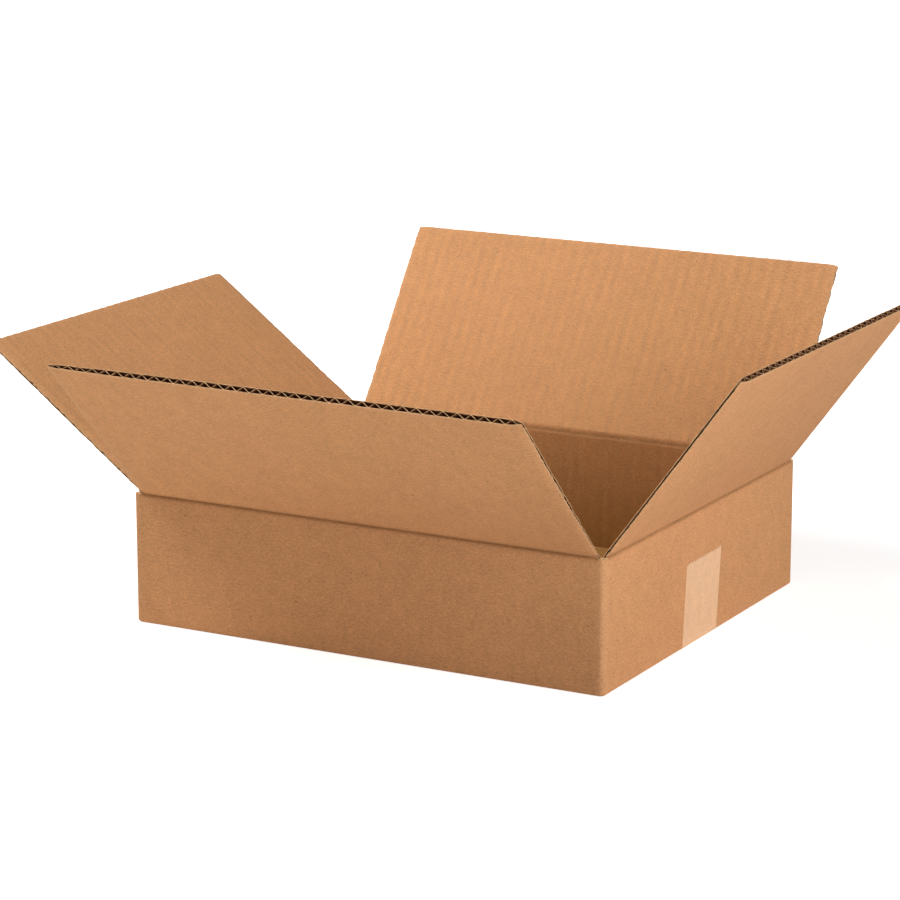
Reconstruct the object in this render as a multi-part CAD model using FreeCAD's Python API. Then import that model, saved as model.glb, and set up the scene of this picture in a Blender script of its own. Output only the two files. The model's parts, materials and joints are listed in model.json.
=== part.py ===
import FreeCAD, Part
import math
import os

# Open regular slotted carton of single-wall corrugated board, in millimetres.
# The origin is at the centre of the base. +X runs along the length, +Y to the back, +Z up.
# Each top flap is set at the angle at which it stands open.

# Box
inside_length = 304.8
inside_width = 260.0
crease_height = 80.8        # mean height of the top creases above the base
corner_radius = 3.2         # outside, at the four upright folds
inner_corner_radius = 0.5
bottom_edge_radius = 1.6

# Board
board_thickness = 4.0
liner_thickness = 0.45
medium_thickness = 0.4
flute_pitch = 8.33
flute_tip_width = 1.5
flute_skew = 0.9            # sideways lean of the flutes over the depth of the board
cut_edge_depth = 2.2        # open flute along each slotted side of a flap

# Pressed crease at the foot of each top flap
crease_thickness = 2.6
crease_rise = 1.3           # long creases lie this far above the mean, end creases this far below
crush_length = 5.0          # board on each side of the crease that is pressed thinner
crease_gap = 0.4
droop_angle = 32.0          # below level, where a flap folded right out stops

# Flaps
front_lean = 44.5           # each lean is outward from upright
back_lean = 35.1
left_lean = 53.5
right_lean = 36.4
slot_clearance = 0.5        # between a flap's side and the inner face of the next wall
notch_gap = 0.3             # between a flap's side and the corner post beside its foot
layer_gap = 0.2             # between two closed layers
seam_gap = 0.4              # between two long flaps that meet
free_corner_radius = 1.5

# Glue tab of the upright joint, inside the back left corner
tab_width = 35.0
tab_thickness = 3.0
tab_taper = 6.0
tab_drop = 10.0             # from the mean crease down to the tab
tab_lift = 1.0              # from the inner bottom flap up to the tab

# Tape over the bottom seam
tape_width = 48.0
tape_thickness = 0.1
tape_rise = 51.2
tape_offset = -5.6          # from the seam to the middle of the strip, which lies off it to the front
tape_shift = 5.5            # how far the strip leans to the back at its top on the right end
tooth_pitch = 4.0
tooth_depth = 1.4

# Sizes that follow
length = inside_length + 2 * board_thickness
width = inside_width + 2 * board_thickness
half_board = board_thickness / 2
half_crease = crease_thickness / 2
layer_step = board_thickness + layer_gap
slot_inset = board_thickness + slot_clearance
long_crease_height = crease_height + crease_rise
end_crease_height = crease_height - crease_rise
face_shift = layer_step / 2 - crease_rise   # the rest of the step, from a crease to its flap's middle
long_flap_length = width / 2 - half_board - seam_gap / 2
end_flap_length = long_flap_length + 2 * crease_rise    # free edges are cut in one line across the blank
crown_drop = half_crease + crease_gap
post_height = crease_height - crown_drop
post_inset = slot_inset - notch_gap
ring_height = end_crease_height - crush_length
inner_floor = board_thickness + layer_step
end_flap_tip = length / 2 - half_board - end_flap_length

UP = FreeCAD.Vector(0, 0, 1)
ALONG = FreeCAD.Vector(1, 0, 0)
ORIGIN = FreeCAD.Vector(0, 0, 0)


def vector(x, y, z):
    return FreeCAD.Vector(x, y, z)


def block(x_low, x_high, y_low, y_high, z_low, z_high):
    """A box between two corners."""
    return Part.makeBox(x_high - x_low, y_high - y_low, z_high - z_low, vector(x_low, y_low, z_low))


def prism(points, direction):
    """A closed polygon pushed along a direction."""
    outline = Part.makePolygon(points + points[:1])
    return Part.Face(outline).extrude(direction)


def upright_block(size_x, size_y, radius, z_low, z_high):
    """A centred block with its four upright edges rounded."""
    shape = block(-size_x / 2, size_x / 2, -size_y / 2, size_y / 2, z_low, z_high)
    upright = [edge for edge in shape.Edges if abs(edge.tangentAt(edge.FirstParameter).z) > 0.9]
    return shape.makeFillet(radius, upright)


# A long side and an end side: length of the wall, crease line from the centre, crease height,
# length of the flap, and outward shift of the flap's middle from its crease
long_side = {
    "wall": length,
    "reach": width / 2 - half_board,
    "height": long_crease_height,
    "flap": long_flap_length,
    "shift": face_shift,
}
end_side = {
    "wall": width,
    "reach": length / 2 - half_board,
    "height": end_crease_height,
    "flap": end_flap_length,
    "shift": -face_shift,
}

# Each flap: name, kind of side, turn about +Z from the front, and lean
flaps = [
    ("front_flap", long_side, 0, front_lean),
    ("right_flap", end_side, 90, right_lean),
    ("back_flap", long_side, 180, back_lean),
    ("left_flap", end_side, 270, left_lean),
]


def placed(shape, side, turn):
    """Carries a piece modelled on a crease along X round to its own side of the box."""
    result = shape.copy()
    result.translate(vector(0, -side["reach"], side["height"]))
    result.rotate(ORIGIN, UP, turn)
    return result


def channel(centre, liner_side, flap_length):
    """One open flute: wide at its liner (1 outer, at -Y, or -1 inner) and narrow at the flute's tip."""
    open_height = board_thickness - 2 * liner_thickness
    web = 1.5 * medium_thickness
    wide = flute_pitch - flute_tip_width - 2 * web
    shoulder = flute_tip_width + 0.2 * (wide - flute_tip_width)
    tip_level = open_height / 2 - medium_thickness
    shoulder_level = tip_level - 0.3 * (open_height - medium_thickness)
    half_outline = [
        (wide / 2, -open_height / 2),
        (shoulder / 2, shoulder_level),
        (flute_tip_width / 2, tip_level),
    ]
    outline = half_outline + [(-x, y) for x, y in reversed(half_outline)]
    points = []
    for x, y in outline:
        y = y * liner_side
        points.append(vector(centre + x + flute_skew * y / open_height, y, crush_length))
    return prism(points, UP * (flap_length - crush_length + 1))


def flutes(flap_width, flap_length):
    """All the open flutes of one flap, on both sides of the zigzag medium, and its two cut edges."""
    fluted_width = flap_width - 2 * (cut_edge_depth + medium_thickness) - abs(flute_skew)
    count = int(fluted_width / flute_pitch)
    start = -count * flute_pitch / 2
    channels = []
    for index in range(count):
        channels.append(channel(start + (index + 0.5) * flute_pitch, 1, flap_length))
    for index in range(1, count):
        channels.append(channel(start + index * flute_pitch, -1, flap_length))
    face_y = half_board - liner_thickness
    for sign in (-1, 1):
        low, high = sorted((sign * (flap_width / 2 - cut_edge_depth), sign * (flap_width / 2 + 1)))
        channels.append(block(low, high, -face_y, face_y, crush_length, flap_length + 1))
    return channels


def flap(side, lean):
    """A top flap on the X axis, its outer face to -Y, turned outward about its crease."""
    flap_width = side["wall"] - 2 * slot_inset
    flap_length = side["flap"]
    half = flap_width / 2
    outer_face = -half_board - side["shift"]
    inner_face = half_board - side["shift"]

    # Side view: round foot on the crease, then the pressed board widening to full thickness
    foot_ends = vector(-half, -half_crease, 0), vector(-half, half_crease, 0)
    corners = [
        foot_ends[0],
        vector(-half, outer_face, crush_length),
        vector(-half, outer_face, flap_length),
        vector(-half, inner_face, flap_length),
        vector(-half, inner_face, crush_length),
        foot_ends[1],
    ]
    side_edges = [Part.makeLine(start, end) for start, end in zip(corners, corners[1:])]
    side_edges.append(Part.Arc(foot_ends[1], vector(-half, 0, -half_crease), foot_ends[0]).toShape())
    sheet = Part.Face(Part.Wire(side_edges)).extrude(ALONG * flap_width)

    # Front view: the two free corners are rounded
    outline = block(-half, half, -board_thickness, board_thickness, -board_thickness, flap_length)
    free_corners = [
        edge for edge in outline.Edges
        if abs(edge.tangentAt(edge.FirstParameter).y) > 0.9 and edge.CenterOfMass.z > flap_length - 1
    ]
    sheet = sheet.common(outline.makeFillet(free_corner_radius, free_corners))
    hollows = Part.makeCompound(flutes(flap_width, flap_length))
    hollows.translate(vector(0, -side["shift"], 0))
    sheet = sheet.cut(hollows)
    sheet.rotate(ORIGIN, ALONG, lean)
    return sheet


def swept_space(half, run, down, face_drop):
    """Space above the face that a folded flap turns to the top of its wall, with the crease's gap."""
    foot = down * (half_crease + crease_gap)
    face = down * (face_drop + crease_gap) + run * crush_length
    near, far = foot - (face - foot), face + (face - foot)
    lift = UP * 3 * crush_length
    start = vector(-half - 1, 0, 0)
    outline = [start + near, start + far, start + far + lift, start + near + lift]
    return prism(outline, ALONG * (2 * half + 2))


def crown(side):
    """Pressed top of a wall, cut back where its flap lies when closed or folded right out."""
    half = side["wall"] / 2 - post_inset
    narrow = half_board - (half_board - half_crease) * (crush_length - crown_drop) / crush_length
    profile = [
        vector(-half, half_board, -crush_length),
        vector(-half, narrow, -crown_drop),
        vector(-half, -narrow, -crown_drop),
        vector(-half, -half_board, -crush_length),
    ]
    shape = prism(profile, ALONG * 2 * half)
    droop = math.radians(droop_angle)
    out = vector(0, -math.cos(droop), -math.sin(droop))
    below_out = vector(0, math.sin(droop), -math.cos(droop))
    opened = swept_space(half, out, below_out, half_board + side["shift"])
    closed = swept_space(half, vector(0, 1, 0), vector(0, 0, -1), half_board - side["shift"])
    return shape.cut([opened, closed])


def corner_posts():
    """The four folded corners between the slots, up to the floor of each slot."""
    wall = upright_block(length, width, corner_radius, ring_height, post_height)
    for x_half, y_half in ((length / 2 - post_inset, width), (length, width / 2 - post_inset)):
        wall = wall.cut(block(-x_half, x_half, -y_half, y_half, ring_height - 1, post_height + 1))
    return wall


def glue_tab():
    """The tab of the left wall, glued inside the back wall."""
    root = -inside_length / 2
    low = inner_floor + tab_lift
    high = crease_height - tab_drop
    outline = [
        vector(root - 1, inside_width / 2 - tab_thickness, low),
        vector(root + tab_width, inside_width / 2 - tab_thickness, low + tab_taper),
        vector(root + tab_width, inside_width / 2 - tab_thickness, high - tab_taper),
        vector(root - 1, inside_width / 2 - tab_thickness, high),
    ]
    return prism(outline, vector(0, tab_thickness + 1, 0))


def long_wall_lift():
    """Plain board of the two long walls, from the ring up to the pressed part below their crease."""
    half = length / 2 - post_inset
    low, high = ring_height, long_crease_height - crush_length
    return [block(-half, half, -width / 2, -inside_width / 2, low, high),
            block(-half, half, inside_width / 2, width / 2, low, high)]


def bottom_gaps():
    """Spaces between the four closed bottom flaps and the walls."""
    half_length = inside_length / 2
    half_width = inside_width / 2
    end_flap_half = half_width - slot_clearance
    gaps = [
        # between the two long flaps, and between their ends and the end walls
        block(-half_length, half_length, -seam_gap / 2, seam_gap / 2, -1, layer_step),
        block(half_length - slot_clearance, half_length, -half_width, half_width, -1, layer_step),
        block(-half_length, -half_length + slot_clearance, -half_width, half_width, -1, layer_step),
        # between the long flaps and the end flaps that lie on them
        block(-half_length, half_length, -half_width, half_width, board_thickness, layer_step),
        # between the free edges of the two end flaps
        block(-end_flap_tip, end_flap_tip, -half_width, half_width, board_thickness, inner_floor + 1),
    ]
    for sign in (-1, 1):
        low, high = sorted((sign * end_flap_half, sign * half_width))
        gaps.append(block(-half_length, half_length, low, high, board_thickness, inner_floor + 1))
    return gaps


def carton():
    """The folded blank: four walls, the four closed bottom flaps and the glue tab."""
    outside = upright_block(length, width, corner_radius, 0, ring_height)
    bottom_edges = [edge for edge in outside.Edges if edge.BoundBox.ZMax < 0.01]
    outside = outside.makeFillet(bottom_edge_radius, bottom_edges)
    tops = [corner_posts()] + long_wall_lift()
    for name, side, turn, lean in flaps:
        tops.append(placed(crown(side), side, turn))
    body = outside.fuse(tops)
    hollow = upright_block(inside_length, inside_width, inner_corner_radius, inner_floor, crease_height * 2)
    return body.cut([hollow] + bottom_gaps()).fuse(glue_tab()).removeSplitter()


def strip_end(lean):
    """Face-on outline of one end of the tape, from below the base up to its toothed end."""
    teeth = int(tape_width / tooth_pitch)
    step = tape_width / teeth
    low = -1
    left = tape_offset - tape_width / 2
    right = tape_offset + tape_width / 2
    points = [vector(0, left, low), vector(0, right, low), vector(0, right, 0)]
    for index in range(teeth):
        y = right + lean - index * step
        points.append(vector(0, y, tape_rise - tooth_depth))
        points.append(vector(0, y - step / 2, tape_rise))
    points.append(vector(0, left + lean, tape_rise - tooth_depth))
    points.append(vector(0, left, 0))
    return points


def tape():
    """One strip along the seam, turned up on both end walls. It is pressed into the base."""
    wide = tape_width + 4 * (abs(tape_shift) + abs(tape_offset))
    skins = []
    for grow in (tape_thickness, 0):
        half = length / 2 + grow
        low = tape_thickness - grow
        skin = block(-half, half, -wide / 2, wide / 2, low, tape_rise + 1)
        turned = [
            edge for edge in skin.Edges
            if edge.BoundBox.ZMax < low + 0.01 and edge.BoundBox.YLength > 1
        ]
        skins.append(skin.makeFillet(bottom_edge_radius + grow, turned))
    shell = skins[0].cut(skins[1])
    reach = length / 2 + 1
    right = prism(strip_end(tape_shift), ALONG * reach)
    left = prism(strip_end(0), ALONG * -reach)
    return shell.common(right.fuse(left)).removeSplitter()


os.makedirs("parts", exist_ok=True)

bottom_tape = tape()
bottom_tape.exportStep("parts/bottom_tape.step")
carton().cut(bottom_tape).exportStep("parts/carton.step")
for name, side, turn, lean in flaps:
    placed(flap(side, lean), side, turn).exportStep("parts/" + name + ".step")
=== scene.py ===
import json
import math

import bpy
import numpy as np
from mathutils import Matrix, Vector


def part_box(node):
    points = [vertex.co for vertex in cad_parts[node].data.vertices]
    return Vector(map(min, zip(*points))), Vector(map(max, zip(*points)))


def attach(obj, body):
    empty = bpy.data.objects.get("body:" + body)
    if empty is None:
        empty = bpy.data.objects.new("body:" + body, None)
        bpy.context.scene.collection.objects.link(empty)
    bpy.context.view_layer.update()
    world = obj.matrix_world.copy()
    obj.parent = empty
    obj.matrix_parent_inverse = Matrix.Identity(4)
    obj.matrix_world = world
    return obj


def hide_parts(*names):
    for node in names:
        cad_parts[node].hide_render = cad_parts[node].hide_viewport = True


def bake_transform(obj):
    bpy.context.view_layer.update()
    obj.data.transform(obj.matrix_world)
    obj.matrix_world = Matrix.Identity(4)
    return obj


# Looks of the open carton. Lengths are in metres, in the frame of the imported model.
# Every piece of board is laid out flat first, as on the blank: x is the place along the blank,
# y is the height up the blank, and z is the place through the board, outer face up. Then it is folded.

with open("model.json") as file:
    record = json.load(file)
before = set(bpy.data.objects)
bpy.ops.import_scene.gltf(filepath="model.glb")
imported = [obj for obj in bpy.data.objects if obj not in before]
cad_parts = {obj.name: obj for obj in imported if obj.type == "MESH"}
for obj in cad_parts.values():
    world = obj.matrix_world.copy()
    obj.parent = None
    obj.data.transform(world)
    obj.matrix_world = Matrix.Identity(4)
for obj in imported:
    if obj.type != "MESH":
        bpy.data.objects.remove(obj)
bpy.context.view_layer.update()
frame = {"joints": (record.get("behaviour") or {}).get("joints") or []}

MM = 0.001

# Board
BOARD = 4.0 * MM
HALF = BOARD / 2
LINER = 0.35 * MM
MEDIUM = 0.42 * MM
PITCH = 8.33 * MM
COLUMNS_PER_FLUTE = 5
FLUTE_SKEW = 1.1 * MM
FLUTE_OVERSHOOT = 1.22          # flank height before the tips are cut blunt, in half waves
RIB_DEPTH = 0.19 * MM           # on the inner liner
OUTER_RIBS = 0.3                # share of that depth on the smoother outer liner
RIB_FADE = 8 * MM               # ribs die away this near a fold or a slotted side

# Folds and cuts
CORNER = 3.2 * MM               # outside, at the upright folds
BASE_EDGE = 1.6 * MM            # outside, at the foot of the walls
BASE_LIFT = 0.15 * MM           # room under the board for the tape
FOLD = 3.0 * MM                 # middle of the board round an open crease
BLEND_REACH = 4.0 * MM          # board on each side of a crease that bends with it
FACE_SHIFT = 0.8 * MM           # from a crease to the middle of its flap
SEAM = 72.5 * MM                # height where the walls end and the flaps' boards begin
SLOT_FLOOR = 79.9 * MM
FREE_CORNER = 1.5 * MM
SEAM_GAP = 0.4 * MM
LAYER_STEP = 4.2 * MM
SLOT_CLEARANCE = 0.5 * MM
SLOT_INSET = BOARD + SLOT_CLEARANCE
FLUTES_PER_SIDE_STEP = 35       # from the middle of one side of the blank to the next

# Glue tab and the wall end beside it
TAB_WIDTH = 35 * MM
TAB_THICKNESS = 3 * MM
TAB_TAPER = 6 * MM
TAB_LOW = 9.4 * MM
TAB_HIGH = 70.8 * MM
WALL_END = 148.75 * MM
WALL_END_GAP = 0.5 * MM

# Tape
TAPE_WIDTH = 48 * MM
TAPE_THICKNESS = 0.09 * MM
TAPE_LIFT = 0.05 * MM
TAPE_RISE = 51.2 * MM
TAPE_OFFSET = -5.6 * MM         # from the seam to the middle of the strip
TAPE_LEAN = 5.5 * MM            # of the right end, towards the back
TOOTH_PITCH = 4.0 * MM
TOOTH = 1.5 * MM
COLUMNS_PER_TOOTH = 4
RAGGED_END = 0.45 * MM          # unevenness of the torn teeth
TORN_CORNER = 1.6 * MM          # how much shorter one corner of each end is
TOOTH_COLUMNS = round(TAPE_WIDTH / TOOTH_PITCH) * COLUMNS_PER_TOOTH

carton_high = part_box("carton")[1]
half_length, half_width = carton_high.x, carton_high.y
joints = {joint["name"]: joint for joint in frame["joints"]}


# Small mesh tools

def deselect():
    bpy.ops.object.select_all(action="DESELECT")


def points_of(piece):
    flat = np.empty(len(piece.data.vertices) * 3)
    piece.data.vertices.foreach_get("co", flat)
    return flat.reshape(-1, 3)


def move_points(piece, points):
    piece.data.vertices.foreach_set("co", np.ascontiguousarray(points).ravel())
    piece.data.update()


def store(piece, name, values):
    """Keeps one value or vector for each point, for the materials."""
    vector = values.ndim == 2
    attribute = piece.data.attributes.new(name, "FLOAT_VECTOR" if vector else "FLOAT", "POINT")
    attribute.data.foreach_set("vector" if vector else "value", np.ascontiguousarray(values).ravel())


def apply_modifier(piece, kind, **settings):
    modifier = piece.modifiers.new(kind.title(), kind)
    for key, value in settings.items():
        setattr(modifier, key, value)
    bpy.context.view_layer.objects.active = piece
    bpy.ops.object.modifier_apply(modifier=modifier.name)


def joined(name, pieces):
    deselect()
    for piece in pieces:
        piece.select_set(True)
    bpy.context.view_layer.objects.active = pieces[0]
    if len(pieces) > 1:
        bpy.ops.object.join()
    pieces[0].name = name
    pieces[0].data.name = name
    return pieces[0]


def select_faces(piece, chosen):
    """Leaves only the chosen faces selected, ready for edit mode."""
    deselect()
    mesh = piece.data
    mesh.vertices.foreach_set("select", np.zeros(len(mesh.vertices), bool))
    mesh.edges.foreach_set("select", np.zeros(len(mesh.edges), bool))
    mesh.polygons.foreach_set("select", np.array(chosen, bool))
    piece.select_set(True)
    bpy.context.view_layer.objects.active = piece
    bpy.context.scene.tool_settings.mesh_select_mode = (False, False, True)


def smooth_step(value):
    value = np.clip(value, 0, 1)
    return value * value * (3 - 2 * value)


def bump(value):
    return np.exp(-value * value)


def drift(along, across, seed, grain):
    """Smooth, repeatable unevenness from about -1 to 1, whose swells are about a grain long."""
    chance = np.random.RandomState(seed)
    total = np.zeros_like(along)
    for _ in range(6):
        heading = chance.uniform(0, 2 * math.pi)
        swell = 2 * math.pi / (grain * chance.uniform(0.7, 1.6))
        phase = chance.uniform(0, 2 * math.pi)
        total += np.sin((along * math.cos(heading) + across * math.sin(heading)) * swell + phase)
    return total / 3


# Flat board

def flat_sheet(columns, rows, top, thickness, face_slot=0, edge_slot=1):
    """A flat sheet over all columns and rows, from its top level down through its thickness."""
    deselect()
    across, up = len(columns) - 1, len(rows) - 1
    bpy.ops.mesh.primitive_grid_add(x_subdivisions=across, y_subdivisions=up, size=2)
    sheet = bpy.context.object
    for material in board_materials:
        sheet.data.materials.append(material)
    points = points_of(sheet)
    column = np.rint((points[:, 0] + 1) / 2 * across).astype(int)
    row = np.rint((points[:, 1] + 1) / 2 * up).astype(int)
    points = np.stack([columns[column], rows[row], np.full(len(points), top)], 1)
    move_points(sheet, points)
    apply_modifier(sheet, "SOLIDIFY", thickness=thickness, offset=-1, use_rim=True)
    for face in sheet.data.polygons:
        face.material_index = face_slot if abs(face.normal.z) > 0.5 else edge_slot
    return sheet


def rib_dip(along, height, facing):
    """How far a liner sinks between the flute tips that hold it. Facing is 1 outer, -1 inner."""
    valley = 0.5 - 0.5 * facing * np.cos(2 * math.pi * along / PITCH)
    strength = 1 + 0.5 * drift(along, height * 0.3, 11, 28 * MM)
    return RIB_DEPTH * (OUTER_RIBS if facing > 0 else 1) * valley * strength


def spaced(low, high, step):
    """Even steps from low to high, as near as can be to the wanted step."""
    return np.linspace(low, high, max(1, round((high - low) / step)) + 1)


class Side:
    """One wall of the box, with the flap above it."""

    def __init__(self, name, order, turn, outward_shift):
        joint = joints[name + "_crease"]
        x, y, z = joint["pos_m"]
        self.name = name
        self.order = order
        self.turn = math.radians(turn)
        self.hinge = z
        self.reach = max(abs(x), abs(y))
        end = half_width if abs(x) > abs(y) else half_length
        self.half = end - SLOT_INSET        # to the side of the flap
        self.straight = end - CORNER        # to the start of the rounded fold
        self.lean = math.radians(-joint["range_deg"][0] - 90)
        self.shift = outward_shift
        self.crease = z - outward_shift / math.sin(self.lean)
        self.arc = FOLD * self.lean
        self.tangent = FOLD * math.tan(self.lean / 2)
        self.fold_height = self.crease - self.tangent + self.arc / 2
        self.middle = order * FLUTES_PER_SIDE_STEP * PITCH

    def columns(self):
        return self.middle + spaced(-self.half, self.half, PITCH / COLUMNS_PER_FLUTE)

    def placed(self, u, out, up):
        """From the place along the wall, the distance out from the middle and the height."""
        x, y = u, -out
        cosine, sine = math.cos(self.turn), math.sin(self.turn)
        return np.stack([x * cosine - y * sine, x * sine + y * cosine, up], 1)

    def fold(self, points):
        """Folds flat points up the wall, round the open crease and along the flap."""
        u, height, through = points[:, 0] - self.middle, points[:, 1], points[:, 2]
        run = height - self.fold_height
        turned = np.clip((run + self.arc / 2) / FOLD, 0, self.lean)
        below = np.minimum(run + self.arc / 2, 0)
        above = np.maximum(run - self.arc / 2, 0)
        out = self.reach + FOLD * (1 - np.cos(turned)) + above * math.sin(self.lean)
        up = self.crease - self.tangent + FOLD * np.sin(turned) + below + above * math.cos(self.lean)
        return self.placed(u, out + through * np.cos(turned), up - through * np.sin(turned))


sides = {
    "left": Side("left", 0, 270, -FACE_SHIFT),
    "front": Side("front", 1, 0, FACE_SHIFT),
    "right": Side("right", 2, 90, -FACE_SHIFT),
    "back": Side("back", 3, 180, FACE_SHIFT),
}
long_flap = sides["front"].reach - SEAM_GAP / 2
end_flap = long_flap + sides["front"].hinge - sides["left"].hinge
for side in sides.values():
    flap_length = end_flap if side.shift < 0 else long_flap
    side.free_edge = side.fold_height + side.arc / 2 - side.tangent
    side.free_edge += flap_length + side.shift / math.tan(side.lean)


# Materials: paper grain in cycles to the metre, and how strongly each grain shows
FINE_GRAIN, FINE_TONE = 1000, 1.05
FIBRE_GRAIN, FIBRE_TONE = 480, 0.62
MOTTLE_GRAIN, MOTTLE_TONE = 130, 0.22
CLOUD_GRAIN, CLOUD_TONE = 22, 0.10
OUTER_RIB_TONE, INNER_RIB_TONE = 0.012, 0.076
SPECK_CELLS, SPECK_TONE = 105, 0.36
BARE_CELLS = 0.78               # share of the cells that have no speck
SPECK_GROWTH = 0.36             # radius in cells for each unit that a cell is past that share
SPECK_EDGE = 40                 # how sharply a speck ends
WAVER_GRAIN, WAVER = 55, 0.35   # of the flute lines, in flutes
PATCH_GRAIN = 60                # flute lines show in patches
PATCH_CONTRAST, PATCH_MEAN = 2.6, 0.55

# Colours
KRAFT = (0.590, 0.296, 0.126, 1), (0.612, 0.300, 0.137, 1)
# Pale wear at the edges, and a painted highlight on the corner folds
RUBBED_AND_HIGHLIGHT_KRAFT = (0.76, 0.47, 0.27, 1)
# Painted shade in the creases
CREASE_SHADE_KRAFT = (0.24, 0.105, 0.036, 1)
# Painted shade for the inner paper down in the box
PAINTED_SHADE_KRAFT = (0.28, 0.132, 0.029, 1)
CUT_PAPER = (0.62, 0.345, 0.165, 1), (0.78, 0.50, 0.275, 1)
# Painted shade of the deep flutes, on the papers inside the board
FLUTING_PAINTED_SHADE = (0.150, 0.058, 0.024, 1), (0.20, 0.082, 0.034, 1)
TAN_TAPE = (0.755, 0.45, 0.235, 1), (0.80, 0.485, 0.27, 1)


def new_group(name, inputs, outputs):
    group = bpy.data.node_groups.new(name, "ShaderNodeTree")
    for label, kind, default in inputs:
        socket = group.interface.new_socket(label, in_out="INPUT", socket_type=kind)
        if default is not None:
            socket.default_value = default
    for label, kind in outputs:
        group.interface.new_socket(label, in_out="OUTPUT", socket_type=kind)
    start = group.nodes.new("NodeGroupInput")
    end = group.nodes.new("NodeGroupOutput")
    return group, start, end


class Wiring:
    """Short calls that add linked nodes to one node tree."""

    def __init__(self, tree):
        self.tree = tree

    def add(self, kind, inputs=(), **settings):
        node = self.tree.nodes.new(kind)
        for key, value in settings.items():
            setattr(node, key, value)
        for key, value in dict(inputs).items():
            self.put(node.inputs[key], value)
        return node

    def put(self, socket, value):
        if isinstance(value, bpy.types.NodeSocket):
            self.tree.links.new(value, socket)
        else:
            socket.default_value = value

    def math(self, operation, *values, clamp=False):
        node = self.add("ShaderNodeMath", dict(enumerate(values)), operation=operation, use_clamp=clamp)
        return node.outputs[0]

    def noise(self, vector, scale, stretch=(1, 1, 1), detail=2.0, roughness=0.5):
        """Noise centred on 0, from about -0.5 to 0.5."""
        spread = self.add("ShaderNodeVectorMath", {0: vector, 1: stretch}, operation="MULTIPLY")
        node = self.add("ShaderNodeTexNoise", {
            "Vector": spread.outputs[0], "Scale": scale, "Detail": detail, "Roughness": roughness})
        return self.math("SUBTRACT", node.outputs["Fac"], 0.5)

    def mix(self, share, first, second):
        node = self.add("ShaderNodeMix", data_type="RGBA")
        self.put(node.inputs[0], share)
        self.put(node.inputs[6], first)
        self.put(node.inputs[7], second)
        return node.outputs[2]

    def scaled(self, colour, share):
        node = self.add("ShaderNodeVectorMath", {0: colour}, operation="SCALE")
        self.put(node.inputs["Scale"], share)
        return node.outputs[0]


def kraft_grain_group():
    """Fibres, mottling, flute shadows and stray dark specks of kraft paper."""
    group, start, end = new_group("kraft_grain", [
        ("Place", "NodeSocketVector", None),
        ("Fibre", "NodeSocketFloat", 1.0),
        ("Flutes", "NodeSocketFloat", 1.0),
        ("Specks", "NodeSocketFloat", 1.0),
    ], [("Tone", "NodeSocketFloat"), ("Height", "NodeSocketFloat")])
    wire = Wiring(group)
    place = start.outputs["Place"]
    fine = wire.noise(place, FINE_GRAIN, detail=3, roughness=0.7)
    fibres = wire.noise(place, FIBRE_GRAIN, stretch=(0.7, 1.6, 1), detail=3, roughness=0.65)
    mottle = wire.noise(place, MOTTLE_GRAIN, detail=2)
    clouds = wire.noise(place, CLOUD_GRAIN, detail=2)

    # Flute shadows: soft uneven lines along the flutes
    parts = wire.add("ShaderNodeSeparateXYZ", {0: place})
    waver = wire.noise(place, WAVER_GRAIN, stretch=(1, 0.35, 1), detail=2)
    cycles = wire.math("DIVIDE", parts.outputs[0], PITCH)
    cycles = wire.math("ADD", cycles, wire.math("MULTIPLY", waver, WAVER))
    line = wire.math("SINE", wire.math("MULTIPLY", cycles, 2 * math.pi))
    patch = wire.noise(place, PATCH_GRAIN, stretch=(1.6, 0.5, 1), detail=3)
    shown = wire.math("ADD", wire.math("MULTIPLY", patch, PATCH_CONTRAST), PATCH_MEAN, clamp=True)
    line = wire.math("MULTIPLY", line, shown)

    # Specks: a few cells of a scatter hold one small dark fleck each
    flecks = wire.add("ShaderNodeTexVoronoi", voronoi_dimensions="2D")
    wire.put(flecks.inputs["Vector"], place)
    flecks.inputs["Scale"].default_value = SPECK_CELLS
    picked = wire.add("ShaderNodeSeparateXYZ", {0: flecks.outputs["Color"]})
    past = wire.math("SUBTRACT", picked.outputs[0], BARE_CELLS, clamp=True)
    radius = wire.math("MULTIPLY", past, SPECK_GROWTH)
    speck = wire.math("SUBTRACT", radius, flecks.outputs["Distance"])
    speck = wire.math("MULTIPLY", speck, SPECK_EDGE, clamp=True)

    # Tone: 1 on plain paper, with each grain's share added. Ribs show mostly on the inner paper
    fibre, flutes = start.outputs["Fibre"], start.outputs["Flutes"]
    inner = wire.math("LESS_THAN", parts.outputs[2], 0.0)
    rib_share = wire.math("MULTIPLY_ADD", inner, INNER_RIB_TONE - OUTER_RIB_TONE, OUTER_RIB_TONE)
    tone = wire.math("MULTIPLY", fine, wire.math("MULTIPLY", fibre, FINE_TONE))
    for layer, share in (
        (fibres, wire.math("MULTIPLY", fibre, FIBRE_TONE)),
        (mottle, MOTTLE_TONE),
        (clouds, CLOUD_TONE),
        (line, wire.math("MULTIPLY", flutes, rib_share)),
    ):
        tone = wire.math("ADD", tone, wire.math("MULTIPLY", layer, share))
    tone = wire.math("ADD", tone, 1.0)
    dark = wire.math("MULTIPLY", speck, wire.math("MULTIPLY", start.outputs["Specks"], SPECK_TONE))
    tone = wire.math("MULTIPLY", tone, wire.math("SUBTRACT", 1.0, dark))
    group.links.new(tone, end.inputs["Tone"])

    height = wire.math("ADD", wire.math("MULTIPLY", fine, 0.6), fibres)
    height = wire.math("ADD", height, wire.math("MULTIPLY", line, wire.math("MULTIPLY", flutes, 0.5)))
    group.links.new(height, end.inputs["Height"])
    return group


def new_material(name):
    material = bpy.data.materials.new(name)
    material.use_nodes = True
    wire = Wiring(material.node_tree)
    shader = material.node_tree.nodes["Principled BSDF"]
    return material, wire, shader


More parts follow.
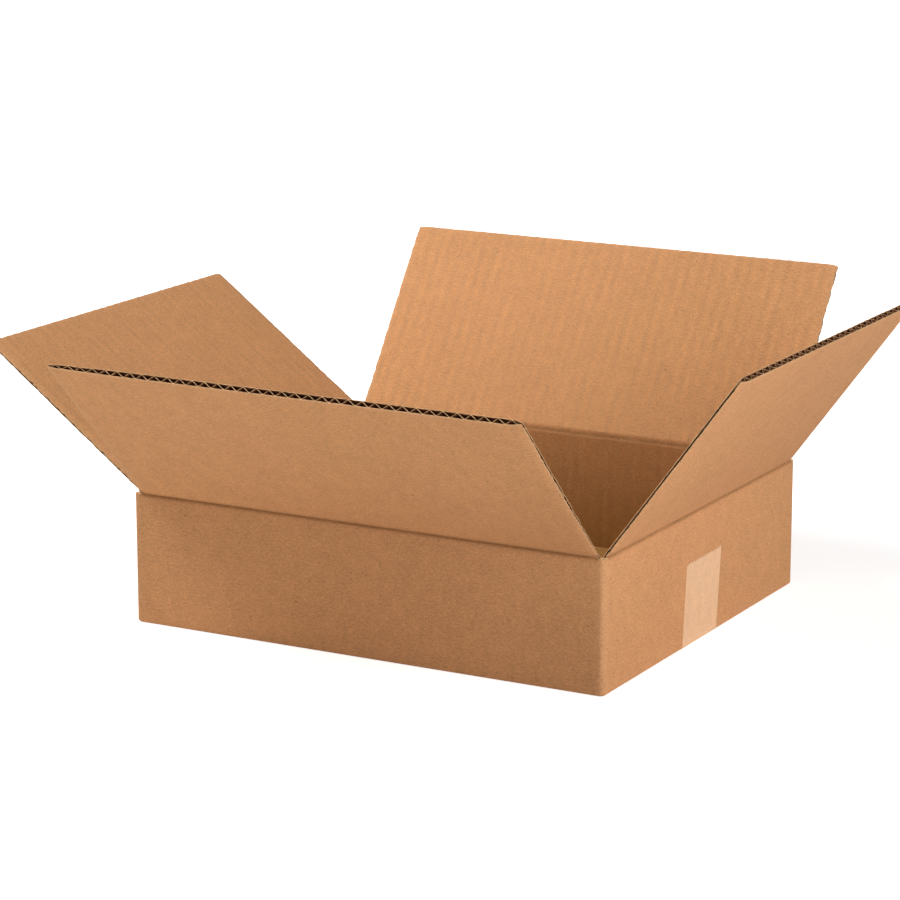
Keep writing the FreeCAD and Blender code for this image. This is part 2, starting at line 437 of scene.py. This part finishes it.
def grain_node(wire, group, place, **values):
    node = wire.add("ShaderNodeGroup", node_tree=group)
    wire.put(node.inputs["Place"], place)
    for key, value in values.items():
        node.inputs[key].default_value = value
    return node


def attribute(wire, name):
    return wire.add("ShaderNodeAttribute", attribute_name=name)


def kraft_liner(grain):
    """The smooth outer paper of the board, with pale wear at its edges, a painted highlight on the corner
    folds, painted shade along its creases and painted shade on the inner paper down in the box.
    """
    material, wire, shader = new_material("kraft_liner")
    place = attribute(wire, "blank").outputs["Vector"]
    surface = grain_node(wire, grain, place, Fibre=1.0, Flutes=1.0, Specks=1.0)
    hue = wire.noise(place, 9, detail=2)
    base = wire.mix(wire.math("ADD", wire.math("MULTIPLY", hue, 1.6), 0.5, clamp=True), *KRAFT)
    # Pale wear at the edges, with a painted highlight on the corner folds
    rubbed_and_highlight = wire.math("MULTIPLY", attribute(wire, "wear_and_highlight").outputs["Fac"],
                       wire.math("ADD", wire.noise(place, 700, detail=3), 0.75, clamp=True))
    colour = wire.mix(wire.math("MULTIPLY", rubbed_and_highlight, 0.5), base, RUBBED_AND_HIGHLIGHT_KRAFT)
    # Painted shade along the creases
    crease_shaded = wire.math("MULTIPLY", attribute(wire, "crease_shade").outputs["Fac"],
                       wire.math("ADD", wire.noise(place, 160, stretch=(1, 3, 1)), 0.95, clamp=True))
    colour = wire.mix(wire.math("MULTIPLY", crease_shaded, 0.8), colour, CREASE_SHADE_KRAFT)
    # Painted shade: the inner paper is mixed towards the painted shade colour by the inside share
    colour = wire.mix(attribute(wire, "inside").outputs["Fac"], colour, PAINTED_SHADE_KRAFT)
    wire.put(shader.inputs["Base Color"], wire.scaled(colour, surface.outputs["Tone"]))
    wire.put(shader.inputs["Roughness"],
             wire.math("ADD", wire.math("MULTIPLY", surface.outputs["Height"], 0.12), 0.82))
    shader.inputs["Specular IOR Level"].default_value = 0.28
    relief = wire.add("ShaderNodeBump", {"Height": surface.outputs["Height"], "Strength": 0.35,
                                         "Distance": 0.06 * MM})
    wire.put(shader.inputs["Normal"], relief.outputs["Normal"])
    return material


def raw_edge(grain):
    """Cut paper: paler than the liner's face, and rough."""
    material, wire, shader = new_material("kraft_raw_edge")
    place = attribute(wire, "blank").outputs["Vector"]
    surface = grain_node(wire, grain, place, Fibre=1.8, Flutes=0.0, Specks=0.3)
    colour = wire.mix(wire.math("ADD", wire.noise(place, 400, detail=3), 0.5, clamp=True), *CUT_PAPER)
    wire.put(shader.inputs["Base Color"], wire.scaled(colour, surface.outputs["Tone"]))
    wire.put(shader.inputs["Roughness"],
             wire.math("ADD", wire.math("MULTIPLY", surface.outputs["Height"], 0.1), 0.9))
    shader.inputs["Specular IOR Level"].default_value = 0.2
    return material


def fluting(grain):
    """The papers inside the board: coarse, and given painted shade as dark as the deep flutes that they
    line.
    """
    material, wire, shader = new_material("fluting_paper_painted_shade")
    place = attribute(wire, "blank").outputs["Vector"]
    surface = grain_node(wire, grain, place, Fibre=1.6, Flutes=0.0, Specks=0.6)
    colour = wire.mix(wire.math("ADD", wire.noise(place, 200, detail=2), 0.5, clamp=True), *FLUTING_PAINTED_SHADE)
    wire.put(shader.inputs["Base Color"], wire.scaled(colour, surface.outputs["Tone"]))
    wire.put(shader.inputs["Roughness"],
             wire.math("ADD", wire.math("MULTIPLY", surface.outputs["Height"], 0.1), 0.92))
    shader.inputs["Specular IOR Level"].default_value = 0.15
    return material


def packing_tape(grain):
    """Thin tan tape with a faint gloss, through which the board's grain still shows."""
    material, wire, shader = new_material("packing_tape")
    place = attribute(wire, "blank").outputs["Vector"]
    surface = grain_node(wire, grain, place, Fibre=0.55, Flutes=1.2, Specks=0.3)
    streaks = wire.noise(place, 300, stretch=(6, 0.25, 1), detail=2)
    patches = wire.noise(place, 70, detail=3)
    share = wire.math("ADD", wire.math("MULTIPLY", patches, 1.3), 0.5, clamp=True)
    colour = wire.mix(share, *TAN_TAPE)
    tone = wire.math("ADD", surface.outputs["Tone"], wire.math("MULTIPLY", streaks, 0.10))
    wire.put(shader.inputs["Base Color"], wire.scaled(colour, tone))
    wire.put(shader.inputs["Roughness"], wire.math("ADD", wire.math("MULTIPLY", patches, 0.25), 0.42))
    shader.inputs["Specular IOR Level"].default_value = 0.4
    relief = wire.add("ShaderNodeBump", {"Height": surface.outputs["Height"], "Strength": 0.2,
                                         "Distance": 0.05 * MM})
    wire.put(shader.inputs["Normal"], relief.outputs["Normal"])
    return material


grain = kraft_grain_group()
board_materials = [kraft_liner(grain), raw_edge(grain), fluting(grain)]
tape_material = packing_tape(grain)


# Flaps: each loss is a share of the board's thickness, and each reach is half the pressed width
OUTER_CREASE_LOSS, OUTER_CREASE_REACH = 0.55, 1.9 * MM
INNER_CREASE_LOSS, INNER_CREASE_REACH = 0.45, 1.1 * MM
CORNER_LOSS, CORNER_REACH = 0.30, 6 * MM
SLOT_LOSS = {"left": 0.76, "front": 0.66, "right": 0.66, "back": 0.70}
SLOT_REACH = 3 * MM
NICK, DEEP_NICK = 0.35 * MM, 0.65 * MM
NICK_STEP = 1.8 * MM
DEEP_NICKS = 0.2                # share of the steps along a slotted side
FREE_EDGE_ROUGHNESS = 0.12 * MM

# Stretches of free edge that were pressed in handling: from, to (full loss) and the loss
CRUSHED_EDGES = {"front": [(-95 * MM, -150 * MM, 0.25)], "right": [(60 * MM, 128 * MM, 0.15)]}

# Painted shade along a crease: how strongly, how far above the middle of the fold, and the reach
OUTER_CREASE_SHADE_BAND = 0.4, 1 * MM, 2.2 * MM
OUTER_CREASE_SHADE_LINE = 0.75, -1 * MM, 0.9 * MM
INNER_CREASE_SHADE_LINE = 1.1, -0.4 * MM, 0.8 * MM

# Share of the painted shade colour in the inner paper: painted shade, darker down in the box
SHADE_AT_FOOT, SHADE_AT_CREASE = 1.0, 0.24
SHADE_OF_FLOOR, SHADE_OF_TAB = 0.9, 0.5
# Pale wear at the foot; on the corner folds, wear with a painted highlight
FOOT_WEAR, FOLD_WEAR_AND_HIGHLIGHT = 0.4, 0.2


def rounded_corners(side, points):
    """Rounds the two free corners of a flap's outline."""
    u = points[:, 0] - side.middle
    beside = np.abs(u) - (side.half - FREE_CORNER)
    beyond = points[:, 1] - (side.free_edge - FREE_CORNER)
    inside = (beside > 0) & (beyond > 0)
    far = np.maximum(beside, beyond)[inside] / np.hypot(beside, beyond)[inside]
    points[inside, 0] = side.middle + np.sign(u[inside]) * (side.half - FREE_CORNER + beside[inside] * far)
    points[inside, 1] = side.free_edge - FREE_CORNER + beyond[inside] * far
    return points


def torn_edges(side, points, seed):
    """Bites small uneven nicks out of the slotted sides, and roughens the free edge a little."""
    chance = np.random.RandomState(seed)
    u = points[:, 0] - side.middle
    above_slot = smooth_step((points[:, 1] - SLOT_FLOOR) / (3 * MM))
    steps = np.arange(SEAM, side.free_edge + 2 * MM, NICK_STEP)
    for sign in (-1, 1):
        nicks = NICK * chance.rand(len(steps)) + DEEP_NICK * (chance.rand(len(steps)) > 1 - DEEP_NICKS)
        rim = sign * u > side.half - 0.3 * MM
        bite = np.interp(points[:, 1], steps, nicks) * above_slot
        points[rim, 0] -= sign * bite[rim]
    edge = points[:, 1] > side.free_edge - 0.05 * MM
    points[edge, 1] -= FREE_EDGE_ROUGHNESS * (1 + drift(points[edge, 0], 0 * points[edge, 0], seed, 5 * MM))
    return points


def pressed(side, points):
    """Share of its full thickness that the board keeps at each point."""
    u = points[:, 0] - side.middle
    run = points[:, 1] - side.fold_height
    outer = points[:, 2] > 0
    crease = np.where(outer, OUTER_CREASE_LOSS * bump(run / OUTER_CREASE_REACH),
                      INNER_CREASE_LOSS * bump(run / INNER_CREASE_REACH))
    beside = side.half - np.abs(u)
    above_slot = smooth_step((points[:, 1] - SLOT_FLOOR + 1 * MM) / (4 * MM))
    slotted = SLOT_LOSS[side.name] * bump(beside / SLOT_REACH) * above_slot
    to_edge = side.free_edge - points[:, 1]
    corner = CORNER_LOSS * bump(np.hypot(beside, to_edge) / CORNER_REACH)
    keep = (1 - crease) * (1 - slotted) * (1 - corner)
    for start, end, loss in CRUSHED_EDGES.get(side.name, []):
        share = smooth_step((u - start) / (end - start))
        keep *= 1 - loss * share * bump(np.maximum(to_edge, 0) / (14 * MM))
    return keep


def zigzag(along):
    """The wave of the fluting paper: straight flanks and narrow blunt tips, from -1 to 1."""
    triangle = np.arcsin(np.sin(2 * math.pi * along / PITCH + math.pi / 2)) * 2 / math.pi
    return np.clip(triangle * FLUTE_OVERSHOOT, -1, 1)


def fluting_sheet(columns_low, columns_high, low, high):
    """The waved middle paper of a board, between two heights of the blank."""
    columns = spaced(columns_low, columns_high, PITCH / 16)
    rows = spaced(low, high, 26 * MM)
    sheet = flat_sheet(columns, rows, MEDIUM / 2, MEDIUM, face_slot=2, edge_slot=1)
    points = points_of(sheet)
    store(sheet, "blank", points.copy())
    sway = 0.35 * MM * drift(points[:, 0], points[:, 1] * 0.1, 5, 23 * MM)
    wave = zigzag(points[:, 0] + sway)
    points[:, 0] += FLUTE_SKEW / 2 * wave
    points[:, 2] += (HALF - LINER - MEDIUM / 2) * wave
    move_points(sheet, points)
    return sheet


def liner_sheet(columns, rows, facing):
    """The outer (1) or inner (-1) flat paper of a board. Its hidden face takes the fluting's painted shade.
    """
    top = HALF if facing > 0 else LINER - HALF
    sheet = flat_sheet(columns, rows, top, LINER)
    # Painted shade: the face towards the flutes takes the dark fluting material
    for face in sheet.data.polygons:
        if face.normal.z * facing < -0.5:
            face.material_index = 2
    return sheet


def squeezed(points, facing, keep):
    """Heights of a liner's points where the board keeps that share of its thickness. Paper isn't thinned."""
    return points[:, 2] - facing * (HALF - LINER / 2) * (1 - keep)


def crease_shade_mark(run, strength, above, reach):
    return strength * bump((run - above) / reach)


def flap_rows(side):
    crease = side.fold_height
    return np.concatenate([
        [SEAM],
        spaced(crease - 6.5 * MM, crease + 5.5 * MM, 0.6 * MM),
        spaced(crease + 7 * MM, side.free_edge - 5 * MM, 1.8 * MM),
        side.free_edge - np.array([3.4, 2.4, 1.6, 0.8, 0.0]) * MM,
    ])


def flap_board(side):
    """A flap with the strip of wall under its crease: two liners with the fluting between them."""
    columns, rows = side.columns(), flap_rows(side)
    parts = []
    for facing in (1, -1):
        sheet = liner_sheet(columns, rows, facing)
        points = rounded_corners(side, points_of(sheet))
        points = torn_edges(side, points, 20 + side.order * 2 + facing)
        store(sheet, "blank", points.copy())
        keep = pressed(side, points)
        beside = smooth_step((side.half - np.abs(points[:, 0] - side.middle)) / RIB_FADE)
        dip = rib_dip(points[:, 0], points[:, 1], facing) * beside
        points[:, 2] = squeezed(points, facing, keep) - facing * dip
        move_points(sheet, points)
        parts.append(sheet)
    inset = 2 * MM
    medium = fluting_sheet(side.middle - side.half + inset, side.middle + side.half - inset,
                           side.fold_height + 4 * MM, side.free_edge - 0.25 * MM)
    points = points_of(medium)
    points[:, 2] *= pressed(side, points)
    move_points(medium, points)
    parts.append(medium)
    board = joined(side.name + "_flap_board", parts)

    place = np.empty(len(board.data.vertices) * 3)
    board.data.attributes["blank"].data.foreach_get("vector", place)
    place = place.reshape(-1, 3)
    beside = side.half - np.abs(place[:, 0] - side.middle)
    to_edge = side.free_edge - place[:, 1]
    above_slot = smooth_step((place[:, 1] - SLOT_FLOOR) / (4 * MM))
    store(board, "wear_and_highlight", np.maximum(bump(beside / (1.2 * MM)) * above_slot, bump(to_edge / (1.0 * MM))))
    run = place[:, 1] - side.fold_height
    # Painted shade along the crease, on both faces
    outer_crease_shade = crease_shade_mark(run, *OUTER_CREASE_SHADE_BAND) + crease_shade_mark(run, *OUTER_CREASE_SHADE_LINE)
    store(board, "crease_shade", np.where(place[:, 2] > 0, outer_crease_shade, crease_shade_mark(run, *INNER_CREASE_SHADE_LINE)))
    # Painted shade on the inner face below the crease, running on from the wall
    shade_below = SHADE_AT_CREASE * smooth_step((0.6 * MM - run) / (1.2 * MM))
    store(board, "inside", np.where(place[:, 2] < 0, shade_below, 0.0))
    move_points(board, side.fold(points_of(board)))
    return board


def blend_flap(side, board):
    """Bakes the board's place into its points."""
    below = side.placed(np.zeros(1), np.array([side.reach]), np.array([side.crease - BLEND_REACH]))[0]
    out = side.reach + BLEND_REACH * math.sin(side.lean)
    up = side.crease + BLEND_REACH * math.cos(side.lean)
    above = side.placed(np.zeros(1), np.array([out]), np.array([up]))[0]
    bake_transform(board)


# Carton: walls, closed bottom flaps and glue tab

def ring_stations():
    """Places along the blank with the middle of the wall there and the way it faces, once round the box."""
    stations = []
    middle_radius = CORNER - HALF
    corner_run = FLUTES_PER_SIDE_STEP * PITCH - sides["left"].straight - sides["front"].straight
    back = sides["back"]

    def straight(side, places, shift=0.0):
        for place in places:
            x, y, _ = side.placed(np.array([place]), np.array([side.reach]), np.zeros(1))[0]
            facing = side.placed(np.zeros(1), np.ones(1), np.zeros(1))[0]
            fade = float(smooth_step((side.half - abs(place)) / RIB_FADE))
            stations.append((side.middle + place + shift, x, y, facing[0], facing[1], fade))

    def corner(side, shift=0.0):
        for step in range(1, 8):
            angle = math.pi / 2 * step / 8
            centre = side.straight, side.reach - middle_radius
            along = np.array([centre[0] + middle_radius * math.sin(angle)])
            out = np.array([centre[1] + middle_radius * math.cos(angle)])
            x, y, _ = side.placed(along, out, np.zeros(1))[0]
            facing = side.placed(np.array([math.sin(angle)]), np.array([math.cos(angle)]), np.zeros(1))[0]
            place = side.middle + side.straight + corner_run * step / 8 + shift
            stations.append((place, x, y, facing[0], facing[1], 0.0))

    round_trip = 4 * FLUTES_PER_SIDE_STEP * PITCH
    straight(back, [WALL_END + WALL_END_GAP, back.half, back.straight], -round_trip)
    corner(back, -round_trip)
    for name in ("left", "front", "right"):
        side = sides[name]
        straight(side, [-side.straight, *(side.columns() - side.middle), side.straight])
        corner(side)
    places = back.columns() - back.middle
    straight(back, [-back.straight, *places[places < WALL_END - 0.2 * MM], WALL_END])
    return np.array(stations)


def wall_ring():
    """The four walls as one strip, rounded at the foot, with the corner posts drawn up between the slots."""
    stations = ring_stations()
    columns = stations[:, 0]
    curve = np.linspace(math.pi / 2, 0, 6)
    foot = BASE_LIFT + BASE_EDGE
    rows = np.concatenate([foot - BASE_EDGE * np.sin(curve), np.array([12, 32, 52, 66]) * MM, [SEAM]])
    ring = flat_sheet(columns, rows, HALF, BOARD)

    # Corner posts
    fades = stations[:, 5]
    select_faces(ring, [
        face.normal.y > 0.5 and face.center.y > SEAM - 0.1 * MM
        and np.interp(face.center.x, columns, fades) <= 0.0
        for face in ring.data.polygons
    ])
    bpy.ops.object.mode_set(mode="EDIT")
    bpy.ops.mesh.extrude_region_move(TRANSFORM_OT_translate={"value": (0, SLOT_FLOOR - SEAM, 0)})
    bpy.ops.object.mode_set(mode="OBJECT")
    for face in ring.data.polygons:
        cut = abs(face.normal.z) < 0.5 and face.center.y > SEAM - 1 * MM
        face.material_index = 1 if cut else 0

    points = points_of(ring)
    store(ring, "blank", points.copy())
    outer = points[:, 2] > 0
    low = np.clip((foot - points[:, 1]) / BASE_EDGE, 0, 1)
    points[outer, 2] -= BASE_EDGE * (1 - np.sqrt(1 - low[outer] ** 2))
    fade = np.interp(points[:, 0], columns, fades)
    for facing, chosen in ((1, outer), (-1, ~outer)):
        dip = rib_dip(points[chosen, 0], points[chosen, 1], facing)
        points[chosen, 2] -= facing * dip * fade[chosen]
    # The inner faces meet in a sharp corner, so there the inner points stop at the next wall
    share = points[:, 2] / BOARD + 0.5
    folded = points.copy()
    for axis, limit in ((0, half_length - BOARD), (1, half_width - BOARD)):
        middle, facing = stations[:, 1 + axis], stations[:, 3 + axis]
        inside = np.interp(points[:, 0], columns, np.clip(middle - facing * HALF, -limit, limit))
        outside = np.interp(points[:, 0], columns, middle + facing * HALF)
        folded[:, axis] = inside + (outside - inside) * share
    folded[:, 2] = points[:, 1]
    move_points(ring, folded)
    foot_wear = FOOT_WEAR * bump((points[:, 1] - BASE_LIFT) / (1.2 * MM))
    # Wear and a painted highlight on the corner folds, and wear along the foot
    store(ring, "wear_and_highlight", np.where(outer & (fade <= 0), FOLD_WEAR_AND_HIGHLIGHT, 0.0) + foot_wear)
    store(ring, "crease_shade", 0.0 * points[:, 0])
    # Painted shade on the inner faces of the walls, darkest at the foot
    shade_up_wall = SHADE_AT_FOOT + (SHADE_AT_CREASE - SHADE_AT_FOOT) * points[:, 1] / SEAM
    store(ring, "inside", np.where(outer, 0.0, shade_up_wall))
    select_faces(ring, [True] * len(ring.data.polygons))
    bpy.ops.object.mode_set(mode="EDIT")
    bpy.ops.mesh.remove_doubles(threshold=0.001 * MM)
    bpy.ops.object.mode_set(mode="OBJECT")
    return ring


def bottom_board(side, low_out, level, half, fluted):
    """A closed bottom flap, from its wall in to low_out, with the middle of its board at a level."""
    reach = side.reach - HALF
    columns = side.middle + spaced(-half, half, PITCH / COLUMNS_PER_FLUTE)
    length = reach - low_out
    rows = -np.concatenate([[0.0, 1.2 * MM, 2.5 * MM], spaced(5 * MM, length, 20 * MM)])[::-1]
    parts = []
    if fluted:
        for facing in (1, -1):
            sheet = liner_sheet(columns, rows, facing)
            points = points_of(sheet)
            store(sheet, "blank", points.copy())
            pinch = 0.5 * bump((half - np.abs(points[:, 0] - side.middle)) / (2.5 * MM))
            pinch = np.maximum(pinch, 0.25 * bump(points[:, 1] / (2 * MM)))
            dip = rib_dip(points[:, 0], points[:, 1], facing)
            points[:, 2] = squeezed(points, facing, 1 - pinch) - facing * dip * (1 - pinch)
            move_points(sheet, points)
            parts.append(sheet)
        parts.append(fluting_sheet(side.middle - half + 3 * MM, side.middle + half - 3 * MM,
                                   0.25 * MM - length, -6 * MM))
    else:
        sheet = flat_sheet(columns, rows, HALF, BOARD)
        points = points_of(sheet)
        store(sheet, "blank", points.copy())
        facing = np.sign(points[:, 2])
        for way in (1, -1):
            chosen = facing == way
            points[chosen, 2] -= way * rib_dip(points[chosen, 0], points[chosen, 1], way)
        move_points(sheet, points)
        parts.append(sheet)
    board = joined(side.name + "_bottom_flap", parts)
    points = points_of(board)
    store(board, "wear_and_highlight", 0.6 * bump((length + points[:, 1]) / (1 * MM)))
    # Painted shade along the fold of the bottom flap
    store(board, "crease_shade", 0.7 * bump(points[:, 1] / (1.2 * MM)))
    # Painted shade on both faces of the bottom flaps, so their underside is darkened too
    store(board, "inside", np.full(len(points), SHADE_OF_FLOOR))
    move_points(board, side.placed(points[:, 0] - side.middle, reach + points[:, 1], level - points[:, 2]))
    return board


def glue_tab():
    """The tab of the left wall, glued inside the back wall at the corner."""
    inner = half_length - BOARD
    columns = spaced(0, TAB_WIDTH, PITCH / COLUMNS_PER_FLUTE)
    rows = spaced(TAB_LOW, TAB_HIGH, 6 * MM)
    tab = flat_sheet(columns, rows, TAB_THICKNESS / 2, TAB_THICKNESS)
    points = points_of(tab)
    store(tab, "blank", points - np.array([0.5, 0, 0]))
    middle = (TAB_LOW + TAB_HIGH) / 2
    taper = 1 - points[:, 0] / TAB_WIDTH * TAB_TAPER / (middle - TAB_LOW)
    points[:, 1] = middle + (points[:, 1] - middle) * taper
    showing = points[:, 2] > 0
    points[showing, 2] -= rib_dip(points[showing, 0], points[showing, 1], 1)
    points[showing, 2] -= 0.5 * MM * bump((TAB_WIDTH - points[showing, 0]) / (2 * MM))
    store(tab, "wear_and_highlight", 0.7 * bump((TAB_WIDTH - points[:, 0]) / (1 * MM)))
    store(tab, "crease_shade", 0.0 * points[:, 0])
    # Painted shade on the whole glue tab
    store(tab, "inside", np.full(len(points), SHADE_OF_TAB))
    wall = half_width - BOARD - TAB_THICKNESS / 2
    move_points(tab, np.stack([points[:, 0] - inner, wall - points[:, 2], points[:, 1]], 1))
    return tab


def carton_board():
    """The whole lower part of the folded blank."""
    ends_half = half_width - BOARD - SLOT_CLEARANCE
    longs_half = half_length - BOARD - SLOT_CLEARANCE
    inner_level = BOARD / 2 + LAYER_STEP
    end_tip = sides["right"].reach - end_flap
    parts = [wall_ring()]
    for name in ("front", "back"):
        parts.append(bottom_board(sides[name], SEAM_GAP / 2, HALF + BASE_LIFT, longs_half, False))
    for name in ("left", "right"):
        parts.append(bottom_board(sides[name], end_tip, inner_level, ends_half, True))
    parts.append(glue_tab())
    return joined("carton_board", parts)


# Tape

def tape_strip():
    """One strip under the box, turned up on both end walls, with torn saw-toothed ends."""
    chance = np.random.RandomState(4)
    across = np.linspace(-TAPE_WIDTH / 2, TAPE_WIDTH / 2, TOOTH_COLUMNS + 1)
    straight = TAPE_RISE - BASE_EDGE
    arc = BASE_EDGE * math.pi / 2
    flat_half = half_length - BASE_EDGE
    ends = flat_half + arc + straight
    up_wall = ends - np.array([0, 1.2, 2.6, 5, 10, 20, 30, 40]) * MM
    round_foot = flat_half + arc * np.linspace(1, 0, 7)
    above_foot = up_wall[up_wall > flat_half + arc + 1 * MM]
    half_rows = np.concatenate([above_foot, round_foot, spaced(0, flat_half, 24 * MM)[-2:0:-1]])
    rows = np.concatenate([-half_rows, [0.0], half_rows[::-1]])
    rows = np.unique(np.round(rows, 6))
    strip = flat_sheet(across, rows, TAPE_THICKNESS, TAPE_THICKNESS, face_slot=0, edge_slot=0)
    strip.data.materials.clear()
    strip.data.materials.append(tape_material)
    points = points_of(strip)

    # Toothed ends: the teeth are clearest in the middle, and one corner is torn off a little
    columns = np.rint((points[:, 0] / TAPE_WIDTH + 0.5) * TOOTH_COLUMNS).astype(int)
    for sign in (-1, 1):
        tooth = np.abs((across / TOOTH_PITCH) % 1 - 0.5) * 2
        clear = 0.35 + 0.65 * smooth_step((TAPE_WIDTH / 2 - np.abs(across)) / (9 * MM))
        cut = TOOTH * tooth * clear + RAGGED_END * chance.rand(TOOTH_COLUMNS + 1)
        cut += TORN_CORNER * smooth_step((-20 * MM - across) / (4 * MM))
        end = sign * points[:, 1] > ends - 0.1 * MM
        points[end, 1] -= sign * cut[columns[end]]
    store(strip, "blank", points + np.array([0, 0.9, 0]))

    distance = np.abs(points[:, 1])
    sign = np.sign(points[:, 1])
    angle = np.clip((distance - flat_half) / BASE_EDGE, 0, math.pi / 2)
    rise = np.maximum(distance - flat_half - arc, 0)
    x = np.minimum(distance, flat_half) + BASE_EDGE * np.sin(angle)
    z = TAPE_THICKNESS + BASE_EDGE * (1 - np.cos(angle)) + rise
    lift = points[:, 2] + TAPE_LIFT
    for name, way in (("right", 1), ("left", -1)):
        side = sides[name]
        on_wall = (sign == way) & (angle > 1.2)
        lift[on_wall] -= rib_dip(side.middle + way * (points[on_wall, 0] + TAPE_OFFSET), z[on_wall], 1)
    x = x + lift * np.sin(angle)
    z = z - points[:, 2] * np.cos(angle)
    y = points[:, 0] + TAPE_OFFSET + np.where(sign > 0, TAPE_LEAN * z / TAPE_RISE, 0.0)
    move_points(strip, np.stack([sign * x, y, z], 1))
    strip.name = "tape_strip"
    strip.data.name = "tape_strip"
    return strip


# Pieces on the frame

def shade(piece):
    deselect()
    piece.select_set(True)
    bpy.context.view_layer.objects.active = piece
    bpy.ops.object.shade_smooth_by_angle(angle=math.radians(38))


carton = carton_board()
shade(carton)
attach(carton, "carton")
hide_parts("carton")

for side in sides.values():
    board = flap_board(side)
    shade(board)
    blend_flap(side, board)
    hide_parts(side.name + "_flap")

tape = tape_strip()
shade(tape)
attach(tape, "carton")
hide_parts("bottom_tape")


# Stage

WORLD_LIGHT = 0.02
FLOOR_SIZE = 30
FLOOR_GREY = 0.90
FLOOR_GLOW = 0.68               # that the camera sees on the floor, close to the box
GLOW_START, GLOW_RISE = 0.35, 0.5   # where it starts to grow, and its growth over the next metre
CENTRE = (0, 0, 0.05)


def studio_floor():
    deselect()
    bpy.ops.mesh.primitive_plane_add(size=FLOOR_SIZE)
    floor = bpy.context.object
    floor.name = "studio_floor"
    material, wire, shader = new_material("studio_floor_white")
    shader.inputs["Base Color"].default_value = (FLOOR_GREY, FLOOR_GREY, FLOOR_GREY, 1)
    shader.inputs["Roughness"].default_value = 0.9
    shader.inputs["Specular IOR Level"].default_value = 0.0
    rays = wire.add("ShaderNodeLightPath")
    seen = wire.math("MAXIMUM", rays.outputs["Is Camera Ray"], rays.outputs["Is Glossy Ray"])
    seen = wire.math("MAXIMUM", seen, rays.outputs["Is Transmission Ray"])
    place = wire.add("ShaderNodeTexCoord").outputs["Object"]
    away = wire.add("ShaderNodeVectorMath", {0: place}, operation="LENGTH").outputs["Value"]
    growth = wire.math("MULTIPLY", wire.math("SUBTRACT", away, GLOW_START), GLOW_RISE, clamp=True)
    glow = wire.math("ADD", growth, FLOOR_GLOW)
    shader.inputs["Emission Color"].default_value = (1, 1, 1, 1)
    wire.put(shader.inputs["Emission Strength"], wire.math("MULTIPLY", seen, glow))
    floor.data.materials.append(material)


def studio_world():
    world = bpy.data.worlds.new("studio_world")
    bpy.context.scene.world = world
    world.use_nodes = True
    wire = Wiring(world.node_tree)
    background = world.node_tree.nodes["Background"]
    rays = wire.add("ShaderNodeLightPath")
    seen = wire.math("MAXIMUM", rays.outputs["Is Camera Ray"], rays.outputs["Is Glossy Ray"])
    seen = wire.math("MAXIMUM", seen, rays.outputs["Is Transmission Ray"])
    background.inputs["Color"].default_value = (1, 1, 1, 1)
    wire.put(background.inputs["Strength"],
             wire.math("ADD", wire.math("MULTIPLY", seen, 1 - WORLD_LIGHT), WORLD_LIGHT))


def softbox(name, place, aim, size, power, colour=(1, 1, 1), spread=180):
    lamp = bpy.data.lights.new(name, "AREA")
    lamp.shape = "SQUARE"
    lamp.size = size
    lamp.energy = power
    lamp.color = colour
    lamp.spread = math.radians(spread)
    box = bpy.data.objects.new(name, lamp)
    bpy.context.scene.collection.objects.link(box)
    direction = Vector(aim) - Vector(place)
    box.rotation_euler = direction.to_track_quat("-Z", "Y").to_euler()
    box.location = place


studio_floor()
studio_world()
softbox("key_right_low", (1.9, -0.5, 0.5), CENTRE, 1.2, 20)
softbox("key_right_mid", (1.7, -0.7, 1.1), CENTRE, 1.2, 11)
softbox("left_high", (-1.0, -0.3, 1.4), (0, 0.15, 0.13), 0.8, 21.5, (1.0, 0.97, 0.90))
softbox("back_flap_glow", (-0.75, -0.15, 0.8), (-0.13, 0.19, 0.15), 0.3, 0.17, (1.0, 0.97, 0.88), spread=40)
softbox("fill_front_left", (-0.9, -2.0, 0.5), CENTRE, 1.2, 3)
softbox("floor_front", (0.1, -1.0, 1.1), (0.1, -1.0, 0), 0.5, 2.7, (1.0, 0.97, 0.88), spread=75)


# Camera

LENS = 134.2
CAMERA_PLACE = (0.9403, -1.7455, 0.5743)
LOOKS_DOWN = math.radians(13.56)
LOOKS_LEFT = math.radians(28.68)


def add_camera():
    data = bpy.data.cameras.new("camera")
    data.sensor_width = 36
    data.lens = LENS
    camera = bpy.data.objects.new("camera", data)
    camera.location = CAMERA_PLACE
    camera.rotation_euler = (math.pi / 2 - LOOKS_DOWN, 0, LOOKS_LEFT)
    bpy.context.scene.collection.objects.link(camera)
    bpy.context.scene.camera = camera


add_camera()
bpy.context.scene.view_settings.view_transform = "Standard"
